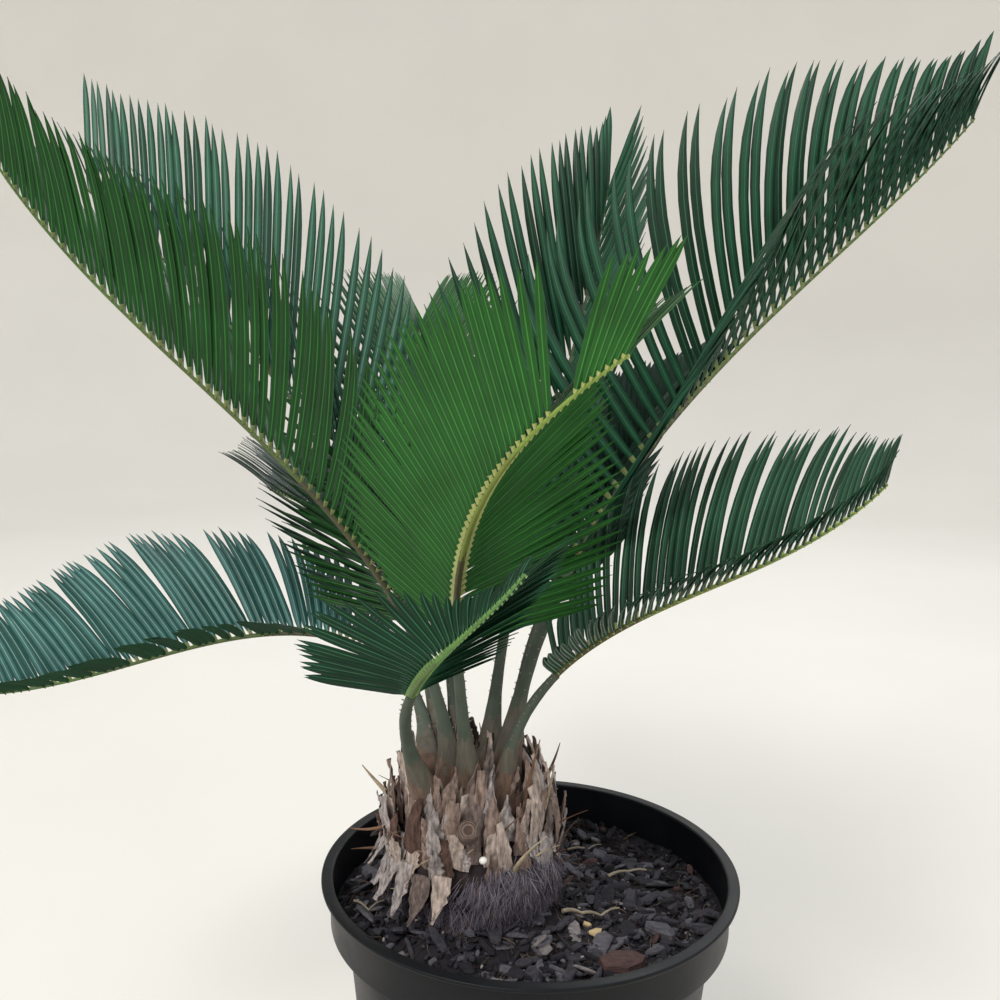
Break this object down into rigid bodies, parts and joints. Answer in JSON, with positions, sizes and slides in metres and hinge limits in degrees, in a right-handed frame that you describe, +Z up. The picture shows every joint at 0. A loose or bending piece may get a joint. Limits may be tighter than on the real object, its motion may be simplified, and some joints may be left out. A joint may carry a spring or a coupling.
{
  "type": "potted sago palm",
  "caption": "Young potted sago palm: stiff arching feather fronds on a squat scaly trunk, in a round black nursery pot filled with bark mulch.",
  "frame": {"origin": "centre of the pot's flat underside", "axes": "+Z up; the plant's front, as pictured, faces -Y; +X to the right"},
  "size_m": [0.5961, 0.479, 0.6255],
  "materials": {
    "pot_plastic": "satin black moulded plastic",
    "mulch_bark": "damp dark bark mulch",
    "trunk_scales": "dry papery leaf-base scales",
    "petiole": "olive green stalk, felted brown at the foot",
    "frond": "glossy stiff green leaflets",
    "bark_chip": "rough bark chips"
  },
  "bodies": {
    "root": {"pot": "pot_plastic", "mulch": "mulch_bark", "trunk": "trunk_scales", "petiole_front_left": "petiole", "petiole_back_left": "petiole", "petiole_front_centre": "petiole", "petiole_back_right": "petiole", "petiole_right_high": "petiole", "petiole_right_back": "petiole", "petiole_right_low": "petiole", "petiole_left_low": "petiole", "petiole_front_low": "petiole", "petiole_back_high": "petiole", "petiole_back_low": "petiole", "blade_front_left": "frond", "blade_back_left": "frond", "blade_front_centre": "frond", "blade_back_right": "frond", "blade_right_high": "frond", "blade_right_back": "frond", "blade_right_low": "frond", "blade_left_low": "frond", "blade_front_low": "frond", "blade_back_high": "frond", "blade_back_low": "frond", "bark_chip_1": "bark_chip", "bark_chip_2": "bark_chip", "bark_chip_3": "bark_chip", "bark_chip_4": "bark_chip", "bark_chip_5": "bark_chip", "bark_chip_6": "bark_chip", "bark_chip_7": "bark_chip", "bark_chip_8": "bark_chip"}
  },
  "joints": []
}
